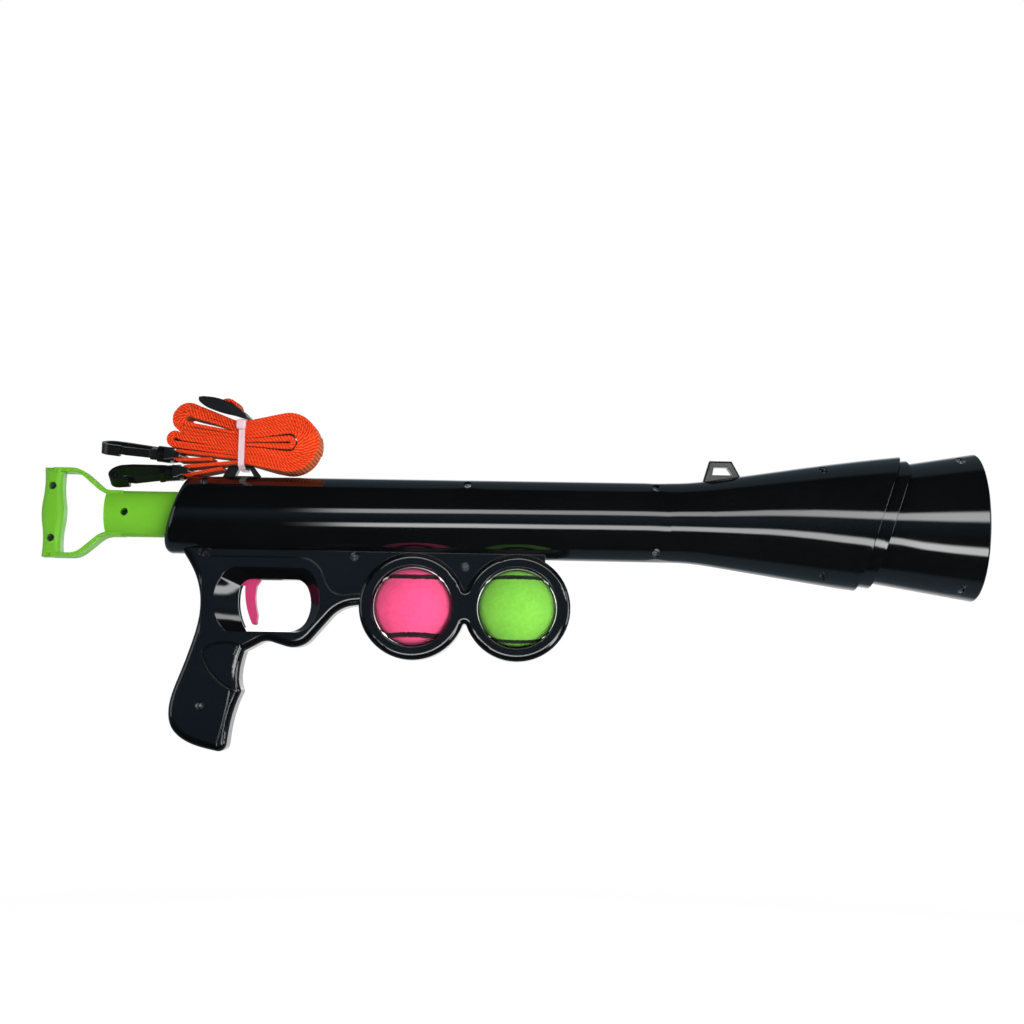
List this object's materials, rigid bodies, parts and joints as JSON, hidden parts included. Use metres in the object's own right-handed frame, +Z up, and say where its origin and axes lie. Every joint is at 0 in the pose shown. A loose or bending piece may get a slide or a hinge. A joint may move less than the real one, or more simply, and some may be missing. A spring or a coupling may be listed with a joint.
{
  "type": "dog ball launcher",
  "caption": "Hand-held spring launcher for dog balls: long barrel with a trumpet muzzle, pull-back D-handle, pistol grip, twin ball rings and a bundled sling strap.",
  "frame": {"origin": "middle of the hand-hold of the pistol grip, on the joint plane of the two shells", "axes": "+X the way the ball flies, along the barrel; +Z up, from the grip to the barrel; +Y to the left of the user"},
  "size_m": [0.7419, 0.1176, 0.2811],
  "materials": {
    "black_gloss": "glossy moulded black",
    "green_plastic": "satin moulded green",
    "pink_plastic": "satin moulded pink",
    "black_satin": "satin moulded black",
    "steel": "bright spring steel",
    "black_steel": "blackened screw",
    "tube_metal": "drawn tube",
    "webbing": "woven orange-red webbing",
    "clear_nylon": "milky translucent nylon",
    "pink_ball": "soft pink",
    "green_ball": "soft green",
    "rubber_pad": "soft black rubber"
  },
  "bodies": {
    "launcher": {"right_shell": "black_gloss", "left_shell": "black_gloss", "muzzle_right": "black_gloss", "muzzle_left": "black_gloss", "ball_seat": "black_satin", "front_sling_loop": "black_gloss", "rear_sling_loop": "black_gloss", "body_screws": "black_steel", "muzzle_screws": "black_steel", "main_spring": "steel", "spring_washer": "steel", "trigger_pin": "steel", "trigger_spring": "steel", "strap_hank": "webbing", "strap_sewn_end": "webbing", "strap_adjuster": "black_satin", "zip_tie": "clear_nylon", "upper_hook_base": "black_satin", "lower_hook_base": "black_satin"},
    "plunger": {"plunger_right": "green_plastic", "plunger_left": "green_plastic", "handle_screws": "black_steel", "catch_block": "steel", "push_rod": "tube_metal", "piston": "black_satin", "striker_pad": "rubber_pad"},
    "trigger": {"trigger": "pink_plastic"},
    "pink_ball": {"pink_ball": "pink_ball"},
    "green_ball": {"green_ball": "green_ball"},
    "upper_hook": {"upper_hook": "black_satin"},
    "lower_hook": {"lower_hook": "black_satin"},
    "upper_hook_gate": {"upper_hook_gate": "black_satin"},
    "lower_hook_gate": {"lower_hook_gate": "black_satin"}
  },
  "joints": [
    {"name": "plunger_slide", "type": "slide", "parent": "launcher", "child": "plunger", "axis": [-1, 0, 0], "range_m": [0, 0.14], "stiffness_N_per_m": 350, "springref_m": -0.02, "deforming": ["main_spring"]},
    {"name": "trigger_pull", "type": "hinge", "parent": "launcher", "child": "trigger", "pos_m": [0.0462, 0, 0.0927], "axis": [0, 1, 0], "range_deg": [0, 12], "stiffness_Nm_per_rad": 0.35, "springref_deg": -8.59, "deforming": ["trigger_spring"]},
    {"name": "pink_ball_pull", "type": "slide", "parent": "launcher", "child": "pink_ball", "axis": [0, -1, 0], "range_m": [0, 0.065]},
    {"name": "green_ball_pull", "type": "slide", "parent": "launcher", "child": "green_ball", "axis": [0, -1, 0], "range_m": [0, 0.065]},
    {"name": "upper_hook_swivel", "type": "hinge", "parent": "launcher", "child": "upper_hook", "pos_m": [-0.04096, 0.00751, 0.18114], "axis": [-0.9871, 0.1037, 0.1219], "continuous": true},
    {"name": "upper_hook_gate_flex", "type": "hinge", "parent": "upper_hook", "child": "upper_hook_gate", "pos_m": [-0.04649, 0.00386, 0.18047], "axis": [-0.0853, 0.303, -0.9492], "range_deg": [0, 20], "stiffness_Nm_per_rad": 0.02, "springref_deg": -5.73},
    {"name": "lower_hook_swivel", "type": "hinge", "parent": "launcher", "child": "lower_hook", "pos_m": [-0.03361, 0.00674, 0.16498], "axis": [-0.9927, 0.1043, -0.061], "continuous": true},
    {"name": "lower_hook_gate_flex", "type": "hinge", "parent": "lower_hook", "child": "lower_hook_gate", "pos_m": [-0.03874, 0.00399, 0.16173], "axis": [0.1151, 0.6607, -0.7418], "range_deg": [0, 20], "stiffness_Nm_per_rad": 0.02, "springref_deg": -5.73}
  ]
}
